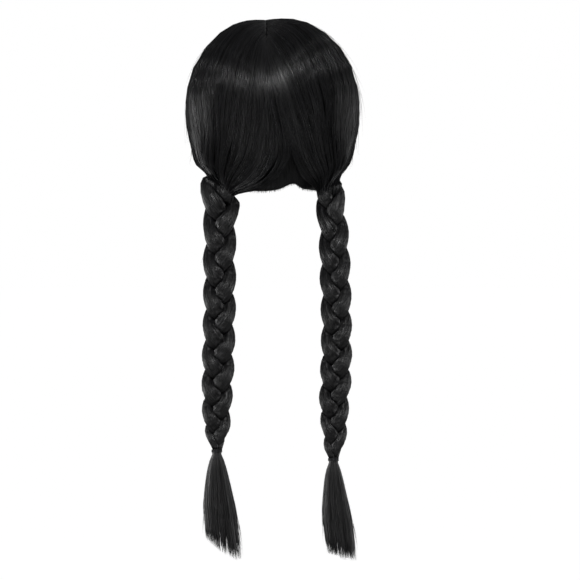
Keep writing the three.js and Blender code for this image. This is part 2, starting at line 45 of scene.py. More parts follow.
head = {"halfWidth": 76, "back": 95, "front": 93, "crownToWidest": 86, "widestToNape": 92,
        "roundness": 2.1, "lowerArc": 50}
hair = {"cap": 1.8, "lift": 1.6, "side": 14, "back": 10.5, "front": 8, "crown": 11,
        "lock": 1.6, "overlap": 2.2, "partingDip": 0.38}
parting = {"gap": 2.4, "setOff": 6.5, "splitSetOff": 23, "towardsFace": 60, "towardsBack": 46,
           "stripWidth": 14, "stripThickness": 0.8, "stripLift": 0.5}
plait = {"width": 34.8, "depth": 24, "strandWidth": 20, "strandDepth": 16, "gap": 0.5, "over": 0.26,
         "endGap": 0.5, "innerSlope": 0.5, "gatherShare": 0.86, "seamGap": 1.1, "gatherDrop": 12,
         "rootDepth": 0.95, "swing": 26}
under = {"top": 1.37, "thickness": 4, "lift": 2.5, "share": 0.45}
tie = {"neckRadius": 4.8, "neckGap": 0.4, "neckAbove": 0.6, "neckBelow": 2, "wire": 1.05, "turns": 3}

# Below the widest level: half sizes as shares of those there, by the share of the way down to the nape.
lowerShape = {
    "drop": [0, 0.22, 0.4, 0.55, 0.7, 0.85, 1],
    "headSide": [1, 0.985, 0.94, 0.88, 0.8, 0.715, 0.64],
    "headBack": [1, 0.98, 0.93, 0.86, 0.79, 0.725, 0.67],
    "headFront": [1, 0.99, 0.95, 0.89, 0.82, 0.74, 0.67],
    "hairSide": [1, 0.982, 0.948, 0.91, 0.865, 0.81, 0.77],
    "hairBack": [1, 0.985, 0.95, 0.91, 0.865, 0.81, 0.755],
    "hairFront": [1, 0.99, 0.95, 0.89, 0.83, 0.77, 0.71],
}

# The lines that the hair follows from the parting to the plait, as turns round the head and levels down it.
hairLines = [
    [(0, parting["towardsBack"] / 90), (0, 0.8), (0, 1.1), (0, 1.36), (1, 1.58), (17, 1.87), (34, 1.99)],
    [(0, 0.4), (9, 0.66), (15, 1.0), (19, 1.3), (26, 1.58), (38, 1.8), (48, 1.93)],
    [(0, 0.12), (38, 0.44), (43, 0.88), (47, 1.22), (52, 1.5), (57, 1.72), (59, 1.88)],
    [(180, 0.16), (98, 0.42), (88, 0.88), (84, 1.22), (77, 1.5), (69, 1.71), (62, 1.86)],
    [(180, 0.42), (138, 0.58), (119, 0.92), (107, 1.24), (94, 1.5), (79, 1.69), (65, 1.84)],
    [(180, parting["towardsFace"] / 90), (160, 0.76), (141, 1.02), (127, 1.3), (111, 1.53), (90, 1.69),
     (68, 1.82)],
]
backShare = 0.4
lockCount = 7

napeEdge = {"aside": [-0.34, -0.1, 0.1, 0.29, 0.43, 0.53, 0.62],
            "level": [2.0, 2.005, 1.98, 1.915, 1.975, 1.988, 2.0]}

# How each plait hangs. Along a route, at is a share of its length, out of the root's distance from the
# middle, swing of the full swing and size of the full width.
halves = {
    "left": {
        "sign": -1, "rootTurn": 51.8, "rootLevel": 1.935, "length": 279.5, "endSlope": 0.7, "firstBulge": 3.5,
        "pitchAtRoot": 117, "pitchAtTie": 82, "pullFrom": 0.74,
        "route": {
            "at": [0, 0.04, 0.08, 0.15, 0.25, 0.5, 0.7, 0.86, 0.93, 0.955, 0.98, 1],
            "out": [0.999, 0.99, 0.985, 0.987, 0.998, 1.0, 1.027, 1.048, 1.048, 1.048, 1.048, 1.048],
            "swing": [0, 0.04, 0.12, 0.3, 0.55, 0.93, 1, 1, 0.99, 0.99, 0.98, 0.97],
            "size": [1, 1.26, 1.16, 1.04, 1.02, 1.01, 1, 0.9, 0.78, 0.64, 0.45, 0.33],
        },
        "tailLength": 115, "tailWidth": 37, "tailShift": 8.5, "shortestLock": 0.8, "fullFrom": 0.012,
    },
    "right": {
        "sign": 1, "rootTurn": 57.7, "rootLevel": 1.946, "length": 288, "endSlope": 0.34, "firstBulge": 9.5,
        "pitchAtRoot": 112, "pitchAtTie": 80, "pullFrom": 0.79,
        "route": {
            "at": [0, 0.04, 0.08, 0.15, 0.25, 0.5, 0.7, 0.82, 0.9, 0.96, 0.985, 1],
            "out": [1, 1.008, 1.028, 1.07, 1.091, 1.122, 1.112, 1.08, 1.091, 1.08, 1.07, 1.07],
            "swing": [0, 0.04, 0.12, 0.3, 0.55, 0.93, 1, 1, 0.99, 0.98, 0.97, 0.97],
            "size": [0.893, 0.94, 0.92, 0.93, 0.96, 0.95, 0.97, 0.92, 0.79, 0.62, 0.44, 0.33],
        },
        "tailLength": 106, "tailWidth": 32.2, "tailShift": 9.8, "shortestLock": 0.93, "fullFrom": 0.035,
    },
}
tailShape = {
    "at": [0, 0.05, 0.15, 0.28, 0.4, 0.52, 0.75, 1],
    "spread": [0, 0.18, 0.42, 0.63, 0.78, 0.9, 1, 1],
    "shift": [0, 0, 0.03, 0.12, 0.22, 0.34, 0.62, 1],
}


def smooth(x, low, high):
    share = np.clip((np.asarray(x, float) - low) / (high - low), 0, 1)
    return share * share * (3 - 2 * share)


def mix(a, b, share):
    return a + (b - a) * share


def stack(x, y, z):
    return np.stack(np.broadcast_arrays(x, y, z), axis=-1)


def unit(vectors):
    return vectors / np.maximum(np.linalg.norm(vectors, axis=-1, keepdims=True), 1e-12)


# A smooth value from a table of columns.
def fromTable(table, key, column, x):
    keys, values = np.array(table[key], float), np.array(table[column], float)
    last = len(keys) - 1
    after = np.minimum(np.arange(last + 1) + 1, last)
    before = np.maximum(np.arange(last + 1) - 1, 0)
    slopes = (values[after] - values[before]) / (keys[after] - keys[before])
    x = np.clip(x, keys[0], keys[-1])
    i = np.clip(np.searchsorted(keys, x, side="right") - 1, 0, last - 1)
    span = keys[i + 1] - keys[i]
    t = (x - keys[i]) / span
    bend = t * (1 - t) * ((1 - t) * slopes[i] - t * slopes[i + 1]) * span
    return values[i] + (values[i + 1] - values[i]) * t * t * (3 - 2 * t) + bend


# A centripetal curve through points (many, count, 3), one parameter from 0 to 1 for each of the many.
def curveAt(points, t):
    count = points.shape[1]
    many = np.arange(len(points))
    place = np.clip(t, 0, 1) * (count - 1)
    i = np.minimum(place.astype(int), count - 2)
    w = (place - i)[:, None]
    ahead = 2 * points[:, 0] - points[:, 1]
    beyond = 2 * points[:, -1] - points[:, -2]
    x1, x2 = points[many, i], points[many, i + 1]
    x0 = np.where((i > 0)[:, None], points[many, np.maximum(i - 1, 0)], ahead)
    x3 = np.where((i + 2 < count)[:, None], points[many, np.minimum(i + 2, count - 1)], beyond)
    d0, d1, d2 = (np.sqrt(np.linalg.norm(b - a, axis=1))[:, None] for a, b in ((x0, x1), (x1, x2), (x2, x3)))
    d1 = np.where(d1 < 1e-4, 1, d1)
    d0, d2 = np.where(d0 < 1e-4, d1, d0), np.where(d2 < 1e-4, d1, d2)
    t1 = ((x1 - x0) / d0 - (x2 - x0) / (d0 + d1) + (x2 - x1) / d1) * d1
    t2 = ((x2 - x1) / d1 - (x3 - x1) / (d1 + d2) + (x3 - x2) / d2) * d1
    return x1 + w * t1 + w ** 2 * (3 * (x2 - x1) - 2 * t1 - t2) + w ** 3 * (2 * (x1 - x2) + t1 + t2)


def direction(turn, level):
    turn, level = np.radians(turn), np.asarray(level, float)
    lean = np.radians(np.where(level <= 1, 90 * level, 90 + head["lowerArc"] * (level - 1)))
    return stack(np.sin(turn) * np.sin(lean), -np.cos(turn) * np.sin(lean), np.cos(lean))


# A point at a height over the head. full is a share of the hair's whole depth.
def overHead(way, height, full=0.0):
    flat = np.maximum(np.hypot(way[..., 0], way[..., 1]), 1e-9)
    lean = np.arccos(np.clip(way[..., 2], -1, 1))
    drop = np.maximum(0, (np.degrees(lean) - 90) / head["lowerArc"])
    power = 2 / head["roundness"]
    reach = np.where(drop > 0, 1, np.sin(lean) ** power)
    rise = np.where(drop > 0, 0, np.maximum(0, np.cos(lean)) ** power)
    sizes = {}
    for side, bare, grown in (("Side", head["halfWidth"], hair["side"]), ("Back", head["back"], hair["back"]),
                              ("Front", head["front"], hair["front"])):
        share = mix(fromTable(lowerShape, "drop", "head" + side, drop),
                    fromTable(lowerShape, "drop", "hair" + side, drop), full)
        sizes[side] = (bare + height + full * grown) * share
    deep = np.where(way[..., 1] < 0, sizes["Back"], sizes["Front"])
    top = (head["crownToWidest"] + height + full * hair["crown"]) * rise
    return stack(way[..., 0] / flat * sizes["Side"] * reach, way[..., 1] / flat * deep * reach,
                 top - head["crownToWidest"] - head["widestToNape"] * drop)


# The parting leans to the left of the middle and the split at the nape to the right of it.
def leaned(way, extra=0.0):
    down = smooth(-way[..., 2], -0.75, 0.72)
    setOff = mix(-parting["setOff"], parting["splitSetOff"], down) / (head["halfWidth"] + hair["side"])
    moved = way[..., 0] + setOff * (1 - np.abs(way[..., 0])) ** 2 + extra
    return unit(stack(moved, way[..., 1], way[..., 2]))


stations = [np.array([direction(*line[i]) for line in hairLines]) for i in range(len(hairLines[0]))]


def flowPoint(across, along):
    guides = np.stack([curveAt(np.broadcast_to(s, (len(across),) + s.shape), across) for s in stations], axis=1)
    return curveAt(guides, along)


def plaitCentre(half, at):
    at = np.asarray(at, float)
    way = direction(half["rootTurn"], half["rootLevel"])
    root = overHead(way, hair["cap"] + hair["lift"], plait["rootDepth"])
    return stack(half["sign"] * root[0] * fromTable(half["route"], "at", "out", at),
                 root[1] - plait["swing"] * fromTable(half["route"], "at", "swing", at),
                 root[2] - half["length"] * at)


# Where the hair of one half is gathered: across runs from its inner side to its outer, depth to the back.
def gatherPoint(half, across, depth):
    reach = plait["gatherShare"] * (2 * across - 1)
    size = half["route"]["size"][0]
    deep = plait["gatherShare"] * plait["depth"] / 2 * size * np.sqrt(np.maximum(0.02, 1 - 0.8 * reach * reach))
    aside = plait["width"] / 2 * size * reach
    centre = plaitCentre(half, 0)
    return stack(centre[0] + half["sign"] * aside, centre[1] - deep * (2 * depth - 1),
                 centre[2] + half["endSlope"] * aside + plait["endGap"])


# A point in the hair over the head: along runs from the parting to the gathered end.
# closing is how far the hair is drawn back over the opening along the middle.
def hairPoint(half, across, along, depth, closing=0.0):
    shape = np.broadcast_shapes(np.shape(across), np.shape(along), np.shape(depth), np.shape(closing))
    across, along, depth, closing = (np.broadcast_to(v, shape).ravel().astype(float)
                                     for v in (across, along, depth, closing))
    raw = flowPoint(np.clip(across, 0, 1), along)
    raw[:, 0] = np.maximum(raw[:, 0], 0)
    wide = head["halfWidth"] + hair["side"]
    nearParting = 1 - smooth(along, 0, 0.1)
    opening = mix(plait["seamGap"] / 2, parting["gap"] / 2, nearParting)
    raw[:, 0] += (opening - closing) * np.maximum(nearParting, 1 - smooth(across, 0, 0.1)) / wide
    way = leaned(stack(half["sign"] * raw[:, 0], raw[:, 1], raw[:, 2]))
    partingEdge = 1 - smooth(along, 0, 0.12)
    splitEdge = (1 - smooth(across, 0, 0.1)) * smooth(along, 0.55, 0.7)
    faceEdge = smooth(across, 0.84, 1)
    lock = np.sin(np.pi * lockCount * across) ** 2 * smooth(along, 0.12, 0.4)
    overlap = smooth(across, backShare, backShare + 0.02) * (1 - smooth(across, backShare + 0.08, 0.75))
    relief = (hair["lock"] * (lock - 0.5) + hair["overlap"] * overlap * smooth(along, 0.45, 0.7)) / hair["side"]
    thinned = (1 - hair["partingDip"] * partingEdge) * (1 - 0.35 * splitEdge ** 2) * (1 - 0.7 * faceEdge ** 2)
    outer = thinned + relief * (1 - np.maximum(splitEdge, faceEdge))
    overStrip = 1 - smooth(raw[:, 0] * wide / parting["stripWidth"], 1.15, 2.4)
    strip = (parting["stripThickness"] + parting["stripLift"]) / hair["crown"] * overStrip
    fromSplit = np.abs(way[:, 0] - parting["splitSetOff"] / 2 / head["halfWidth"])
    lining = under["share"] * (1 - smooth(fromSplit, 0.46, 0.62)) * smooth(-raw[:, 2], 0.2, 0.36)
    inner = strip * smooth(raw[:, 2], 0.25, 0.6) + lining
    onHead = overHead(way, hair["cap"] + hair["lift"], mix(inner, outer, depth))
    gathered = gatherPoint(half, across, depth)
    gathered[:, 2] += plait["gatherDrop"] * (1 - smooth(along, 0.8, 1))
    pull = (smooth(along, half["pullFrom"], 1) ** 1.5)[:, None]
    return mix(onHead, gathered, pull).reshape(shape + (3,))


def plaitTurn(half, at):
    first, last = half["pitchAtRoot"], half["pitchAtTie"]
    return 2 * math.pi * half["length"] / (last - first) * np.log(mix(first, last, at) / first)


def strandTurn(half, strand, at):
    start = math.pi / 2 - plaitTurn(half, half["firstBulge"] / half["length"])
    return start + plaitTurn(half, at) + 2 * math.pi * strand / 3


def strandSway(half, strand, at):
    turn = strandTurn(half, strand, at)
    aside = (plait["width"] - plait["strandWidth"]) / plait["strandWidth"]
    deep = (plait["depth"] - plait["strandDepth"]) / plait["strandDepth"]
    return np.stack([aside * np.sin(turn), -deep * np.sin(2 * turn)], axis=-1)


# A point on or in one strand of a plait: around is an angle about the strand's own middle.
def strandPoint(half, strand, at, around, share):
    at, around, share = (np.asarray(v, float) for v in np.broadcast_arrays(at, around, share))
    centre = plaitCentre(half, at)
    size = fromTable(half["route"], "at", "size", at)
    own = strandSway(half, strand, at)
    way = np.stack([np.cos(around), np.sin(around)], axis=-1)
    reach = np.ones_like(at)
    for k in (1, 2):
        other = strandSway(half, (strand + k) % 3, at) - own
        apart = np.linalg.norm(other, axis=-1)
        facing = np.maximum((way * other).sum(-1) / apart, 0)
        ahead = np.clip(-other[..., 1] / 0.6, -1, 1)
        room = np.maximum(apart * (0.5 + plait["over"] * ahead) - plait["gap"] / plait["strandDepth"], 0.05)
        reach = reach / (1 + (facing * reach / room) ** 8) ** 0.125
    spot = own + way * (reach * share)[..., None]
    aside = spot[..., 0] * plait["strandWidth"] / 2 * size
    levelled = (1 - smooth(at, 0, 0.09)) * mix(plait["innerSlope"], 1, smooth(aside, -9, 3))
    return stack(centre[..., 0] + half["sign"] * aside,
                 centre[..., 1] - spot[..., 1] * plait["strandDepth"] / 2 * size,
                 centre[..., 2] + half["endSlope"] * aside * levelled)


def tiePlace(half):
    tall = tie["wire"] * tie["turns"]
    return plaitCentre(half, 1) - np.array([0, 0, tall / 2 + tie["neckAbove"] + tie["neckGap"]])


def napePoint(along, share, depth):
    along, share, depth = np.broadcast_arrays(along, share, depth)
    below = mix(napeEdge["aside"][0], napeEdge["aside"][-1], share)
    middle = parting["splitSetOff"] / 2 / head["halfWidth"]
    aside = head["halfWidth"] * mix(middle, below, mix(0.7, 1, along))
    level = mix(under["top"], fromTable(napeEdge, "aside", "level", below), along)
    height = under["lift"] + depth * under["thickness"] * mix(1, 0.6, along)
    wide = (head["halfWidth"] + height) * fromTable(lowerShape, "drop", "headSide", level - 1)
    return overHead(direction(np.degrees(np.arcsin(aside / wide)), level), height)


# Building the meshes

bakeMap = "OFBake"
weldDistance = 0.00002
headMiddle = np.array([0, 0, -head["crownToWidest"]])


def clearSelection():
    if bpy.context.object and bpy.context.object.mode != "OBJECT":
        bpy.ops.object.mode_set(mode="OBJECT")
    bpy.ops.object.select_all(action="DESELECT")


def makeActive(obj):
    clearSelection()
    obj.select_set(True)
    bpy.context.view_layer.objects.active = obj
    return obj


# Closed three-sided tubes along many paths at once, tapered to a point at both ends.
# paths is (many, steps, 3) in millimetres, radius (many, steps), out the outward side, tone one number each.
def fibreMesh(name, paths, radius, out, tone):
    many, steps = paths.shape[:2]
    run = unit(np.gradient(paths, axis=1))
    side = unit(np.cross(run, out))
    up = np.cross(side, run)
    angles = np.radians([90, 210, 330])
    ring = (up[:, :, None] * np.sin(angles)[:, None] + side[:, :, None] * np.cos(angles)[:, None])
    points = paths[:, :, None] + ring * radius[:, :, None, None]
    count = steps * 3
    base = (np.arange(many) * count)[:, None]
    row = np.arange(steps - 1)[:, None] * 3
    here, there = np.array([0, 1, 2]), np.array([1, 2, 0])
    quads = np.stack([row + here, row + there, row + 3 + there, row + 3 + here], axis=-1).reshape(-1, 4)
    quads = (base[:, :, None] + quads[None]).reshape(-1, 4)
    caps = np.array([[2, 1, 0], [count - 3, count - 2, count - 1]])
    caps = (base[:, :, None] + caps[None]).reshape(-1, 3)
    mesh = bpy.data.meshes.new(name)
    corners = np.concatenate([quads.ravel(), caps.ravel()]).astype(np.int32)
    totals = np.concatenate([np.full(len(quads), 4), np.full(len(caps), 3)]).astype(np.int32)
    mesh.vertices.add(many * count)
    mesh.vertices.foreach_set("co", (points * mm).astype(np.float32).ravel())
    mesh.loops.add(len(corners))
    mesh.loops.foreach_set("vertex_index", corners)
    mesh.polygons.add(len(totals))
    mesh.polygons.foreach_set("loop_start", np.concatenate([[0], np.cumsum(totals)[:-1]]).astype(np.int32))
    mesh.polygons.foreach_set("loop_total", totals)
    mesh.update(calc_edges=True)
    mesh.polygons.foreach_set("use_smooth", np.ones(len(totals), bool))
    layer = mesh.uv_layers.new(name=bakeMap)
    across = np.tile([0, 0.003, 0.006], many * steps) + np.repeat(tone, count)
    down = np.tile(np.repeat(np.linspace(0, 1, steps), 3), many)
    layer.data.foreach_set("uv", np.stack([across, down], axis=-1)[corners].astype(np.float32).ravel())
    piece = bpy.data.objects.new(name, mesh)
    bpy.context.scene.collection.objects.link(piece)
    return piece


# A grid laid round a closed section and welded. placeAt takes each corner's row and column shares.
def wrappedGrid(name, rows, columns, placeAt, tone=0.25):
    clearSelection()
    bpy.ops.mesh.primitive_grid_add(x_subdivisions=rows, y_subdivisions=columns, size=2)
    piece = bpy.context.object
    piece.name = name
    corners = np.empty(len(piece.data.vertices) * 3, np.float32)
    piece.data.vertices.foreach_get("co", corners)
    corners = (corners.reshape(-1, 3) + 1) / 2
    row = np.round(corners[:, 0] * rows).astype(int)
    column = np.round(corners[:, 1] * columns).astype(int)
    piece.data.vertices.foreach_set("co", (placeAt(row, column) * mm).astype(np.float32).ravel())
    layer = piece.data.uv_layers[0]
    layer.name = bakeMap
    spots = np.empty(len(layer.data) * 2, np.float32)
    layer.data.foreach_get("uv", spots)
    spots = spots.reshape(-1, 2)
    layer.data.foreach_set("uv", np.stack([tone + 0.02 * spots[:, 1], spots[:, 0]], axis=-1).ravel())
    bpy.ops.object.mode_set(mode="EDIT")
    bpy.ops.mesh.select_all(action="SELECT")
    bpy.ops.mesh.remove_doubles(threshold=weldDistance)
    bpy.ops.mesh.normals_make_consistent(inside=False)
    bpy.ops.object.mode_set(mode="OBJECT")
    bpy.ops.object.shade_smooth()
    return piece


def joinPieces(name, pieces):
    makeActive(pieces[0])
    for piece in pieces[1:]:
        piece.select_set(True)
    bpy.ops.object.join()
    whole = bpy.context.object
    whole.name = whole.data.name = name
    return whole


def settle(piece, node, finish):
    piece.data.materials.clear()
    piece.data.materials.append(finish)
    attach(piece, "root")
    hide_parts(node)


# Slow waves along each fibre, different for every one: many rows of steps.
def waves(rng, many, along, turns, size):
    total = np.zeros((many, len(along)))
    for k in range(1, 4):
        phase = rng.uniform(0, 2 * math.pi, (many, 1))
        speed = turns * k * rng.uniform(0.7, 1.3, (many, 1))
        total += np.sin(2 * math.pi * speed * along[None] + phase) / k
    return total * size / 1.8


def taper(along, start, end):
    return np.maximum(0.12, smooth(along, 0, start) * (1 - smooth(along, 1 - end, 1)))


# Finishes

class Wire:
    # A socket. Sums and products of it add Math nodes.
    def __init__(self, tree, socket):
        self.tree, self.socket = tree, socket

    def reckon(self, operation, first, second):
        node = self.tree.nodes.new("ShaderNodeMath")
        node.operation = operation
        for place, value in zip(node.inputs, (first, second)):
            if isinstance(value, Wire):
                self.tree.links.new(value.socket, place)
            else:
                place.default_value = value
        return Wire(self.tree, node.outputs[0])

    def __add__(self, other):
        return self.reckon("ADD", self, other)

    def __sub__(self, other):
        return self.reckon("SUBTRACT", self, other)

    def __mul__(self, other):
        return self.reckon("MULTIPLY", self, other)

    def __rsub__(self, other):
        return self.reckon("SUBTRACT", other, self)

    __radd__ = __add__
    __rmul__ = __mul__


class Finish:
    def __init__(self, name):
        self.material = bpy.data.materials.new(name)
        self.material.use_nodes = True
        self.tree = self.material.node_tree
        self.surface = self.tree.nodes["Principled BSDF"]

    # Any node but a sum: its kind, its settings, its sockets' values or links, and the output that is used.
    def node(self, kind, settings=None, sockets=None, output=0):
        node = self.tree.nodes.new("ShaderNode" + kind)
        for name, value in (settings or {}).items():
            if name == "stops":
                self.setStops(node, value)
            else:
                setattr(node, name, value)
        for name, value in (sockets or {}).items():
            self.feed(node.inputs[name], value)
        return Wire(self.tree, node.outputs[output])

    def setStops(self, node, stops):
        ramp = node.color_ramp.elements
        while len(ramp) > 1:
            ramp.remove(ramp[-1])
        ramp[0].position, ramp[0].color = stops[0][0], (*stops[0][1], 1)
        for place, colour in stops[1:]:
            ramp.new(place).color = (*colour, 1)

    def feed(self, socket, value):
        if isinstance(value, Wire):
            self.tree.links.new(value.socket, socket)
        else:
            socket.default_value = value

    def set(self, **sockets):
        for name, value in sockets.items():
            self.feed(self.surface.inputs[name.replace("_", " ")], value)
        return self.material


# Each finish has the roughness of its lightest hairs, how much more its darkest have, and its gloss.
hairFinish = {"dark": (0.003, 0.003, 0.0036), "middle": (0.0055, 0.0055, 0.0066),
              "light": (0.016, 0.016, 0.0185),
              "streaks": (90, 2.2), "toneShare": 0.75, "streakShare": 0.3, "refraction": 1.55,
              "combed": (0.15, 0.24, 0.44), "plaited": (0.29, 0.2, 0.86), "loose": (0.34, 0.2, 1.08)}


def hairMaterial(kind):
    finish = Finish(kind + " black hair")
    rough, spread, specular = hairFinish[kind]
    place = finish.node("UVMap", {"uv_map": bakeMap})
    parts = finish.node("SeparateXYZ", None, {0: place})
    tone = Wire(finish.tree, parts.socket.node.outputs[0])
    down = Wire(finish.tree, parts.socket.node.outputs[1])
    fine, long = hairFinish["streaks"]
    stretched = finish.node("CombineXYZ", None, {0: tone * fine, 1: down * long})
    streak = finish.node("TexNoise", None, {"Vector": stretched, "Scale": 1.0, "Detail": 2.0})
    mixed = tone * hairFinish["toneShare"] + streak * hairFinish["streakShare"] - 0.03
    colour = finish.node("ValToRGB", {"stops": [(0.0, hairFinish["dark"]), (0.45, hairFinish["middle"]),
                                                (1.0, hairFinish["light"])]}, {0: mixed})
    material = finish.set(Base_Color=colour, Roughness=rough + spread * (1 - mixed))
    finish.surface.inputs["Specular IOR Level"].default_value = specular
    finish.surface.inputs["IOR"].default_value = hairFinish["refraction"]
    return material


netFinish = {"thread": (0.022, 0.022, 0.024), "gap": (0.005, 0.005, 0.006), "cell": 1.5}


def netMaterial():
    finish = Finish("stretch net")
    place = finish.node("TexCoord", None, None, 3)
    cells = finish.node("TexVoronoi", {"feature": "DISTANCE_TO_EDGE"},
                        {"Vector": place, "Scale": 1000 / netFinish["cell"], "Randomness": 0.35})
    fine = finish.node("TexNoise", None, {"Vector": place, "Scale": 900.0, "Detail": 3.0})
    thread = finish.node("ValToRGB", {"stops": [(0.0, netFinish["thread"]), (0.16, netFinish["thread"]),
                                                (0.26, netFinish["gap"])]}, {0: cells + fine * 0.05})
    high = finish.node("MapRange", None, {"Value": cells, "From Min": 0.05, "From Max": 0.22,
                                          "To Min": 1.0, "To Max": 0.0})
    bump = finish.node("Bump", None, {"Strength": 0.7, "Distance": 0.0004, "Height": high + fine * 0.25})
    finish.surface.inputs["Specular IOR Level"].default_value = 0.25
    return finish.set(Base_Color=thread, Roughness=0.78, Normal=bump)


skinFinish = {"pale": (0.30, 0.235, 0.19), "dark": (0.06, 0.047, 0.042), "root": (0.008, 0.008, 0.009)}


def skinMaterial():
    finish = Finish("parting skin")
    place = finish.node("TexCoord", None, None, 3)
    roots = finish.node("TexVoronoi", {"feature": "F1"}, {"Vector": place, "Scale": 1050.0})
    cloud = finish.node("TexNoise", None, {"Vector": place, "Scale": 160.0, "Detail": 4.0})
    tint = finish.node("ValToRGB", {"stops": [(0.3, skinFinish["dark"]), (0.62, skinFinish["pale"])]},
                       {0: cloud})
    dots = finish.node("MapRange", None, {"Value": roots, "From Min": 0.18, "From Max": 0.3,
                                          "To Min": 1.0, "To Max": 0.0})
    colour = finish.node("Mix", {"data_type": "RGBA"},
                         {"Factor": dots, 6: tint, 7: (*skinFinish["root"], 1)}, 2)
    bump = finish.node("Bump", None, {"Strength": 0.4, "Distance": 0.0002, "Height": cloud - dots})
    finish.surface.inputs["Specular IOR Level"].default_value = 0.3
    return finish.set(Base_Color=colour, Roughness=0.62, Normal=bump)


elasticFinish = {"dark": (0.006, 0.006, 0.007), "light": (0.035, 0.035, 0.04)}


def elasticMaterial():
    finish = Finish("black elastic")
    place = finish.node("TexCoord", None, None, 3)
    weave = finish.node("TexNoise", None, {"Vector": place, "Scale": 1400.0, "Detail": 2.0})
    colour = finish.node("ValToRGB", {"stops": [(0.35, elasticFinish["dark"]), (0.7, elasticFinish["light"])]},
                         {0: weave})
    bump = finish.node("Bump", None, {"Strength": 0.5, "Distance": 0.0002, "Height": weave})
    return finish.set(Base_Color=colour, Roughness=0.28 + weave * 0.15, Normal=bump)


hairBlack, plaitBlack, tailBlack = hairMaterial("combed"), hairMaterial("plaited"), hairMaterial("loose")
netBlack, skinTone, elasticBlack = netMaterial(), skinMaterial(), elasticMaterial()
print("finishes made")

# The hair over the head

sheets = {
    "rows": 44, "columns": 26, "baseDepth": 0.88, "innerDepth": 0.04,
    "rimWidth": 0.06, "rimDrop": 0.45, "rimLift": 0.25, "inset": 0.006, "tuck": 0.22,
    "rootStart": -0.004, "rootRise": 0.03, "rootSink": 0.05, "rootDepth": (0.72, 0.96), "closing": (0.9, 2.0),
    "edgeDrop": 0.16, "edgeLift": 0.03, "edgeDrift": 0.04, "driftLift": 0.09, "partingFill": 0.28,
    "curtainDrop": 6, "radius": 0.33, "layer": 0.13, "wander": 0.0035, "wave": 0.02,
    "lockWidth": 0.034, "lockRise": 0.06, "lockWave": 0.05, "lockSway": 0.006, "pinch": 0.35,
    "innerShare": 0.13, "innerLayer": 0.06, "tone": 0.32, "toneSpread": 0.2, "lockTone": 0.12,
    "strays": 64, "strayRadius": 0.18, "strayTone": 0.5,
    "back": {"from": 0.0, "to": backShare, "fibres": 760},
    "side": {"from": backShare, "to": 1.0, "fibres": 800},
}
fibreSteps = np.concatenate([[0, 0.01, 0.024, 0.045, 0.075], np.linspace(0.115, 0.86, 15),
                             [0.9, 0.935, 0.97, 1]])


def sheetBase(name, half, low, high):
    between = np.linspace(0.08, 0.92, sheets["columns"] - 6)
    edge = np.concatenate([[0, 0.012, 0.035], between, [0.965, 0.988, 1]])
    fade = (1 - np.minimum(np.minimum(edge, 1 - edge) / sheets["rimWidth"], 1)) ** 2
    share = np.concatenate([edge, edge[::-1], edge[:1]])
    top = sheets["baseDepth"] - sheets["rimDrop"] * fade
    bottom = (sheets["innerDepth"] + sheets["rimLift"] * fade)[::-1]
    depth = np.concatenate([top, bottom, top[:1]])
    rows, inset = sheets["rows"], sheets["inset"]

    def placeAt(row, column):
        along = np.clip((row - 1) / (rows - 2), 0, 1)
        start = low + inset * (low > 0)
        end = high - inset * (high < 1)
        across = mix(start, end, share[column])
        middle = (sheets["baseDepth"] + sheets["innerDepth"]) / 2
        deep = np.where((row == 0) | (row == rows), middle, depth[column])
        rise = smooth(along, sheets["rootStart"], sheets["rootRise"])
        if low == 0:
            tucked = smooth(across, backShare - 0.13, backShare - 0.06) * smooth(along, 0.25, 0.4)
            deep = deep - sheets["tuck"] * tucked * (1 - smooth(along, 0.9, 1)) * (deep > 0.5)
        return hairPoint(half, across, along, deep * rise - sheets["rootSink"] * (1 - rise))

    return wrappedGrid(name, rows, len(share) - 1, placeAt)


# Carries the ends of combed fibres a little way down over the plait, and tucks them in.
def tuckedIn(half, paths):
    centre = plaitCentre(half, 0)
    ends = [paths]
    for drop, share in ((4, 0.97), (8, 0.84), (13, 0.6)):
        place = plaitCentre(half, drop / half["length"])
        ends.append(((paths[:, -1] - centre) * [share, share, 1] + place)[:, None])
    return np.concatenate(ends, axis=1)


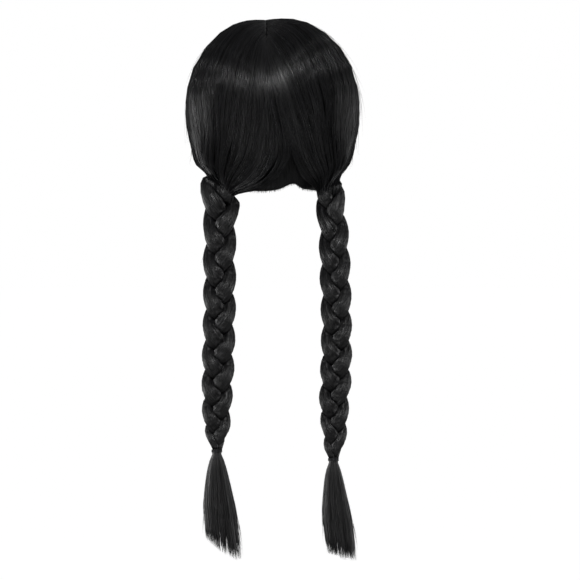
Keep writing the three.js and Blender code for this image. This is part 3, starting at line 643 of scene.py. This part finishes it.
def combedFibres(name, half, low, high, count, rng):
    along = fibreSteps[None]
    width = sheets["lockWidth"]
    locks = np.arange(low, high, width)
    locks = locks + rng.uniform(0.2, 0.8, len(locks)) * width
    across = rng.uniform(low, high, count)
    mine = np.abs(across[:, None] - locks[None]).argmin(1)
    offset = np.clip((across - locks[mine]) / width, -1, 1)[:, None]
    height = sheets["lockRise"] * (0.5 - 1.6 * offset ** 2) * smooth(along, 0.05, 0.3)
    height = height + 0.5 * sheets["lockRise"] * rng.uniform(-1, 1, len(locks))[mine][:, None]
    height = height + waves(rng, len(locks), fibreSteps, 2.4, sheets["lockWave"])[mine] * smooth(along, 0, 0.2)
    sway = waves(rng, len(locks), fibreSteps, 1.1, sheets["lockSway"])[mine]
    sway = sway * smooth(along, 0, 0.4) * (1 - smooth(along, 0.8, 1))
    across = across[:, None] + sway
    across = across + waves(rng, count, fibreSteps, 1.3, sheets["wander"]) * smooth(along, 0, 0.3)
    pinch = sheets["pinch"] * smooth(along, 0.35, 0.9) * smooth(across, 0.02, 0.06)
    across = across + (locks[mine][:, None] - across) * pinch
    layer = sheets["layer"] * rng.random((count, 1)) ** 1.5
    depth = 1 + height - layer + waves(rng, count, fibreSteps, 2.2, sheets["wave"]) * smooth(along, 0, 0.2)
    # The side's first lock drifts to the back over the edge of the back hair, which dips under it.
    drift = sheets["edgeDrift"] * smooth(along, 0.3, 0.56) * (1 - smooth(along, 0.86, 1))
    if low > 0:
        across = across - drift * (1 - smooth(across, backShare, backShare + 0.36))
        lifted = sheets["edgeLift"] * (1 - smooth(across - backShare + drift, 0.03, 0.12))
        lifted = lifted + sheets["driftLift"] * (across < backShare) * smooth(along, 0.45, 0.7)
    else:
        lifted = -sheets["edgeDrop"] * smooth(across - backShare + drift, -0.07, 0)
    depth = depth + lifted * smooth(along, 0.3, 0.5) * (1 - smooth(along, 0.9, 1))
    depth = depth + sheets["partingFill"] * (1 - smooth(along, 0, 0.12)) * (1 - smooth(across, 0.2, 0.36))
    inside = rng.random((count, 1)) < sheets["innerShare"]
    depth = np.where(inside, sheets["innerLayer"] * rng.random((count, 1)), depth)
    rise = smooth(along, sheets["rootStart"], rng.uniform(0.012, 0.07, (count, 1)))
    depth = mix(np.minimum(depth, rng.uniform(*sheets["rootDepth"], (count, 1))), depth, rise)
    closing = rng.uniform(*sheets["closing"], (count, 1)) * (1 - smooth(along, 0.63, 0.75))
    paths = hairPoint(half, across, along, depth, closing)
    if half is halves["left"]:
        lower = smooth(along, 0.6, 0.76) * (1 - smooth(along, 0.8, 0.97))
        paths[..., 2] -= sheets["curtainDrop"] * lower * (1 - smooth(across, 0, 0.2))
    paths = tuckedIn(half, paths)
    out = unit(paths - headMiddle)
    down = np.linspace(0, 1, paths.shape[1])[None]
    radius = sheets["radius"] * rng.uniform(0.75, 1.2, (count, 1)) * taper(down, 0.03, 0.05)
    tone = sheets["tone"] + sheets["toneSpread"] * rng.standard_normal(count)
    tone = tone + sheets["lockTone"] * rng.standard_normal(len(locks))[mine]
    return fibreMesh(name, paths, radius, out, np.clip(tone, 0.02, 0.95))


# A few loose hairs that stand off the surface.
def strayFibres(name, half, low, high, count, rng):
    steps = np.linspace(0, 1, 16)
    start = rng.uniform(0.02, 0.6, (count, 1))
    length = rng.uniform(0.15, 0.45, (count, 1))
    along = np.clip(start + length * steps[None], 0, 0.97)
    across = rng.uniform(low, high, (count, 1)) + rng.uniform(-0.05, 0.05, (count, 1)) * steps[None]
    lift = rng.uniform(0.1, 0.42, (count, 1)) * steps[None] ** 1.6 * rng.choice([0.4, 1.0, 1.5], (count, 1))
    depth = 0.96 + lift + waves(rng, count, steps, 0.7, 0.03)
    paths = hairPoint(half, np.clip(across, 0, 1), along, depth)
    out = unit(paths - headMiddle)
    radius = sheets["strayRadius"] * taper(steps[None], 0.05, 0.5) * np.ones((count, 1))
    return fibreMesh(name, paths, radius, out, np.full(count, sheets["strayTone"]))


for number, (side, half) in enumerate(halves.items()):
    for part in ("back", "side"):
        low, high, count = (sheets[part][k] for k in ("from", "to", "fibres"))
        node = "hair_" + part + "_" + side
        rng = np.random.default_rng(100 + 10 * number + (part == "side"))
        base = sheetBase(node + "_base", half, low, high)
        fibres = combedFibres(node + "_fibres", half, low, high, count, rng)
        strays = strayFibres(node + "_strays", half, low, high, sheets["strays"], rng)
        settle(joinPieces(node + "_combed", [base, fibres, strays]), node, hairBlack)
        print(node, "combed")

# The under-layer in the split above the nape

# The under-layer's fibres (tone 0.08) and its base (tone 0.1) are much darker than the combed hair (0.32),
# though it is the same black hair: painted shade in the recessed split.
napeLayer = {"rows": 18, "columns": 34, "fibres": 330, "radius": 0.32, "tone": 0.08, "toneSpread": 0.05}


def napeHair():
    rows, columns = napeLayer["rows"], napeLayer["columns"]
    share = np.concatenate([np.linspace(0, 1, columns), np.linspace(1, 0, columns), [0]])
    depth = np.concatenate([np.full(columns, 0.8), np.full(columns, 0.1), [0.8]])

    def placeAt(row, column):
        along = np.clip((row - 1) / (rows - 2), 0, 1) * 0.96
        deep = np.where((row == 0) | (row == rows), 0.45, depth[column])
        return napePoint(along, mix(0.01, 0.99, share[column]), deep)

    # The base's low tone is painted shade in the split.
    base = wrappedGrid("nape_base", rows, len(share) - 1, placeAt, 0.1)
    rng = np.random.default_rng(7)
    count = napeLayer["fibres"]
    steps = np.linspace(0, 1, 11)
    across = rng.uniform(0.004, 0.996, (count, 1)) + waves(rng, count, steps, 0.6, 0.006)
    ends = 1 - 0.05 * rng.random((count, 1)) ** 2
    outer = rng.random((count, 1)) < 0.7
    facing = np.where(outer, rng.uniform(0.8, 1.0, (count, 1)), rng.uniform(0, 0.15, (count, 1)))
    deep = mix(facing, 0.5 + (facing - 0.5) * 0.55, steps[None] ** 3)
    paths = napePoint(ends * steps[None], np.clip(across, 0, 1), deep)
    radius = napeLayer["radius"] * rng.uniform(0.8, 1.1, (count, 1)) * taper(steps[None], 0.1, 0.1)
    out = unit(paths - headMiddle)
    # Low tones: painted shade in the split above the nape.
    tone = np.clip(napeLayer["tone"] + napeLayer["toneSpread"] * rng.standard_normal(count), 0.01, 0.3)
    fibres = fibreMesh("nape_fibres", paths, radius, out, tone)
    settle(joinPieces("nape_hair_combed", [base, fibres]), "nape_hair", hairBlack)


napeHair()
print("under-layer combed")

# The plaits

# The strands' fibre tone (0.4) is above the combed hair's (0.32) though it is the same hair: painted light,
# lifting the plaits and the shade between their lobes.
strands = {"rows": 120, "columns": 20, "fibres": 118, "steps": 54, "radius": 0.36, "baseShare": 0.9,
           "slant": 0.8, "slantLead": 0.5, "wander": 0.14, "uneven": 0.012, "layer": 0.07,
           "rise": 0.025, "rounded": 0.5, "tiePinch": 0.2, "tone": 0.4, "toneSpread": 0.2,
           "strays": 9, "strayRadius": 0.14, "strayTone": 0.5}


# The strands are rounded off at their upper ends, where the hair runs into them, and drawn in at the tie.
def strandEnds(half, at):
    return (1 - strands["rounded"] * (1 - smooth(at, -strands["rise"], half["fullFrom"]))
            - strands["tiePinch"] * smooth(at, 0.985, 1.002))


def strandBase(name, half, strand):
    rows, columns = strands["rows"], strands["columns"]

    def placeAt(row, column):
        at = np.clip((row - 1) / (rows - 2), 0, 1)
        share = np.where((row == 0) | (row == rows), 0.0, strands["baseShare"] * strandEnds(half, at))
        return strandPoint(half, strand, at, 2 * math.pi * (column % columns) / columns, share)

    return wrappedGrid(name, rows, columns, placeAt, 0.15)


def strandFibres(name, half, strand, rng):
    count = strands["fibres"]
    at = np.concatenate([[-strands["rise"]], np.linspace(-0.012, 1.01, strands["steps"])])
    around = (np.arange(count) + rng.uniform(0, 1, count)) * 2 * math.pi / count
    # The hairs slant across the strand, towards the middle of the plait where it crosses over in front.
    turn = strandTurn(half, strand, np.clip(at, 0, 1)) + strands["slantLead"]
    around = around[:, None] + waves(rng, count, at, 3.0, strands["wander"]) - strands["slant"] * np.sin(turn)
    share = 1 - strands["layer"] * rng.random((count, 1)) ** 1.3 + waves(rng, count, at, 3.0, strands["uneven"])
    paths = strandPoint(half, strand, at[None], around, share * strandEnds(half, at))
    inner = strandPoint(half, strand, at[None], around, share * 0.5)
    down = np.linspace(0, 1, len(at))
    radius = strands["radius"] * rng.uniform(0.75, 1.15, (count, 1)) * taper(down, 0.02, 0.01)
    # The raised tone is painted light on the plaits.
    tone = np.clip(strands["tone"] + strands["toneSpread"] * rng.standard_normal(count), 0.03, 0.95)
    return fibreMesh(name, paths, radius, unit(paths - inner), tone)


# Short hairs that have worked loose from a strand.
def looseEnds(name, half, strand, rng):
    count = strands["strays"]
    steps = np.linspace(0, 1, 9)
    at = rng.uniform(0.08, 0.93, (count, 1)) + rng.uniform(0.03, 0.07, (count, 1)) * steps[None]
    around = rng.uniform(0, 2 * math.pi, (count, 1)) + rng.uniform(-0.5, 0.5, (count, 1)) * steps[None]
    lift = 0.96 + rng.uniform(0.1, 0.5, (count, 1)) * steps[None] ** 1.8
    at = np.minimum(at, 0.97)
    paths = strandPoint(half, strand, at, around, lift)
    inner = strandPoint(half, strand, at, around, lift * 0.5)
    radius = strands["strayRadius"] * taper(steps[None], 0.05, 0.6) * np.ones((count, 1))
    return fibreMesh(name, paths, radius, unit(paths - inner), np.full(count, strands["strayTone"]))


for number, (side, half) in enumerate(halves.items()):
    for strand in range(3):
        node = f"plait_{side}_strand_{strand + 1}"
        rng = np.random.default_rng(300 + 10 * number + strand)
        pieces = [strandBase(node + "_base", half, strand), strandFibres(node + "_fibres", half, strand, rng),
                  looseEnds(node + "_strays", half, strand, rng)]
        settle(joinPieces(node + "_combed", pieces), node, plaitBlack)
    print("plait", side, "made")

# The tails

tails = {"fibres": 620, "steps": 13, "radius": 0.4, "deep": 0.62, "tone": 0.42, "toneSpread": 0.2,
         "coreShare": 0.74, "coreLength": 0.82, "coreRows": 20, "coreColumns": 18,
         "locks": 17, "pinch": 0.2, "bow": 0.05, "overlong": 1.03, "ragged": 0.12, "lockRagged": 0.04,
         "loose": 90, "looseRadius": 0.22, "looseShort": 0.4}


def tailPlace(half, at):
    spread = fromTable(tailShape, "at", "spread", at)
    return {
        "wide": mix(tie["neckRadius"], half["tailWidth"] / 2, spread),
        "deep": mix(1, tails["deep"], smooth(at, 0, 0.3)),
        "shift": half["tailShift"] * fromTable(tailShape, "at", "shift", at),
    }


def tailPoint(half, at, x, y):
    centre = tiePlace(half)
    tall = tie["wire"] * tie["turns"]
    top = centre[2] + tall / 2 + tie["neckAbove"]
    neckEnd = centre[2] - tall / 2 - tie["neckBelow"]
    long = neckEnd - centre[2] + half["tailLength"]
    place = tailPlace(half, np.maximum(at, 0))
    z = np.where(at < 0, neckEnd - at * (top - neckEnd), neckEnd - long * at)
    return stack(centre[0] + place["shift"] + x * place["wide"],
                 centre[1] + y * place["wide"] * place["deep"], z)


def tailCore(name, half):
    rows, columns = tails["coreRows"], tails["coreColumns"]

    def placeAt(row, column):
        at = mix(-1, tails["coreLength"], np.clip((row - 1) / (rows - 2), 0, 1))
        angle = 2 * math.pi * (column % columns) / columns
        share = tails["coreShare"] * (1 - smooth(at, 0.45, 0.85)) * ((row > 0) & (row < rows))
        return tailPoint(half, at, np.cos(angle) * share, np.sin(angle) * share)

    return wrappedGrid(name, rows, columns, placeAt, 0.1)


def tailFibres(name, half, rng):
    count = tails["fibres"] + tails["loose"]
    loose = np.arange(count) >= tails["fibres"]
    angle = rng.uniform(0, 2 * math.pi, count)
    reach = np.where(loose, rng.uniform(0.96, 1.0, count), np.sqrt(rng.uniform(0.12, 1, count)) * 0.98)
    x, y = reach * np.cos(angle), reach * np.sin(angle)
    locks = rng.uniform(0, 2 * math.pi, tails["locks"]), np.sqrt(rng.uniform(0.1, 0.85, tails["locks"]))
    lockX, lockY = locks[1] * np.cos(locks[0]), locks[1] * np.sin(locks[0])
    mine = np.hypot(x[:, None] - lockX, y[:, None] - lockY).argmin(1)
    ragged = tails["overlong"] - tails["ragged"] * rng.random(count) ** 2.2
    ragged = ragged - tails["lockRagged"] * rng.random(tails["locks"])[mine]
    ragged = ragged - loose * rng.uniform(0, tails["looseShort"], count)
    length = (1 - (1 - half["shortestLock"]) * ((1 - x) / 2) ** 1.6) * ragged
    steps = np.linspace(0, 1, tails["steps"])
    at = np.concatenate([np.broadcast_to([-1, -0.45], (count, 2)), length[:, None] * steps[None]], axis=1)
    down = np.maximum(at, 0)
    pinch = tails["pinch"] * smooth(down, 0.35, 1)
    share = np.linspace(0, 1, at.shape[1])
    bow = waves(rng, count, share, 0.8, tails["bow"]) * smooth(down, 0.05, 0.5)
    stand = 1 + (loose * rng.uniform(0.02, 0.2, count))[:, None] * smooth(down, 0.3, 0.95) ** 1.5
    side = mix(x[:, None], lockX[mine][:, None], pinch * ~loose[:, None]) * stand + bow
    deep = mix(y[:, None], lockY[mine][:, None], pinch) + bow[:, ::-1] * smooth(down, 0.05, 0.5)
    paths = tailPoint(half, at, side, deep)
    out = np.broadcast_to(unit(stack(x, y * 0.8 - 0.01, 0 * x))[:, None], paths.shape)
    radius = np.where(loose, tails["looseRadius"], tails["radius"])[:, None] * taper(share, 0.02, 0.17)
    radius = radius * rng.uniform(0.7, 1.15, (count, 1))
    tone = np.clip(tails["tone"] + tails["toneSpread"] * rng.standard_normal(count), 0.03, 0.95)
    return fibreMesh(name, paths, radius, out, tone)


for number, (side, half) in enumerate(halves.items()):
    node = "tail_" + side
    rng = np.random.default_rng(500 + number)
    pieces = [tailCore(node + "_core", half), tailFibres(node + "_fibres", half, rng)]
    settle(joinPieces(node + "_brush", pieces), node, tailBlack)
    print(node, "made")

# The cap, the strip in the parting and the ties keep their solids, smoothed

def smoothedCopy(node, name, levels, finish, angle=None):
    clearSelection()
    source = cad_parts[node]
    piece = source.copy()
    piece.data = source.data.copy()
    piece.name = piece.data.name = name
    for key in list(piece.keys()):
        del piece[key]
    piece.parent = None
    bpy.context.scene.collection.objects.link(piece)
    makeActive(piece)
    bpy.ops.object.mode_set(mode="EDIT")
    bpy.ops.mesh.select_all(action="SELECT")
    bpy.ops.mesh.remove_doubles(threshold=weldDistance)
    bpy.ops.mesh.tris_convert_to_quads()
    bpy.ops.object.mode_set(mode="OBJECT")
    if levels:
        rounding = piece.modifiers.new("rounding", "SUBSURF")
        rounding.levels = rounding.render_levels = levels
        bpy.ops.object.modifier_apply(modifier=rounding.name)
    bpy.ops.object.shade_smooth()
    if angle:
        bpy.ops.object.shade_smooth_by_angle(angle=math.radians(angle))
    settle(piece, node, finish)
    return piece


smoothedCopy("cap", "cap_net_shell", 2, netBlack, 50)
smoothedCopy("parting_strip", "parting_strip_skin", 2, skinTone, 50)
for side in halves:
    smoothedCopy("tie_" + side, "tie_" + side + "_elastic", 2, elasticBlack, 60)
print("cap, strip and ties finished")

# The studio

studio = {
    "floorDrop": 0.80, "floorSize": 60.0, "floorColour": 0.1, "floorGlow": 0.97, "seenWhite": 1.0,
    "ambient": 0.18, "aim": (0.0, 0.0, -0.15),
    "lights": {
        "main": {"place": (0.1, -1.85, 1.06), "size": 0.3, "power": 14},
        "fill left": {"place": (-2.4, -0.35, -0.2), "size": 1.5, "power": 30},
        "fill right": {"place": (2.4, -0.3, -0.2), "size": 1.5, "power": 14},
        "low": {"place": (-0.5, -2.8, -1.4), "size": 2.2, "power": 6},
        "front": {"place": (0.4, 2.4, 1.3), "size": 1.6, "power": 4},
    },
}


def pointAt(obj, target):
    away = np.array(target) - np.array(obj.location)
    flat = math.hypot(away[0], away[1])
    obj.rotation_euler = (math.atan2(flat, -away[2]), 0, math.atan2(-away[0], away[1]))


def makeStudio():
    clearSelection()
    bpy.ops.mesh.primitive_plane_add(size=studio["floorSize"], location=(0, 0, -studio["floorDrop"]))
    floor = bpy.context.object
    floor.name = "studio_floor"
    paint = Finish("pale floor")
    tint = studio["floorColour"]
    floor.data.materials.append(paint.set(Base_Color=(tint, tint, tint, 1), Roughness=0.9,
                                          Emission_Color=(1, 1, 1, 1), Emission_Strength=studio["floorGlow"]))
    floor.visible_diffuse = floor.visible_glossy = False
    for name, light in studio["lights"].items():
        bpy.ops.object.light_add(type="AREA", location=light["place"])
        lamp = bpy.context.object
        lamp.name = name
        lamp.data.size = light["size"]
        lamp.data.energy = light["power"]
        pointAt(lamp, studio["aim"])
    world = bpy.data.worlds.new("studio")
    bpy.context.scene.world = world
    world.use_nodes = True
    tree = world.node_tree
    seen = tree.nodes.new("ShaderNodeLightPath")
    back = tree.nodes["Background"]
    white = tree.nodes.new("ShaderNodeMapRange")
    white.inputs["To Min"].default_value = studio["ambient"]
    white.inputs["To Max"].default_value = studio["seenWhite"]
    tree.links.new(seen.outputs["Is Camera Ray"], white.inputs["Value"])
    tree.links.new(white.outputs["Result"], back.inputs["Strength"])
    back.inputs["Color"].default_value = (1, 1, 1, 1)


# The picture is 580 pixels square, and shows 626 mm at the wig.
view = {"distance": 6.0, "frame": 0.6264, "centre": (0.0187, -0.02, -0.2828), "elevation": 1.0}


def makeCamera():
    lean = math.radians(view["elevation"])
    x, y, z = view["centre"]
    far = view["distance"]
    bpy.ops.object.camera_add(location=(x, y - far * math.cos(lean), z + far * math.sin(lean)),
                              rotation=(math.pi / 2 - lean, 0, 0))
    camera = bpy.context.object
    camera.name = "camera"
    camera.data.angle = 2 * math.atan(view["frame"] / 2 / far)
    bpy.context.scene.camera = camera


makeStudio()
makeCamera()
bpy.context.scene.view_settings.view_transform = "Standard"
print("studio and camera set")
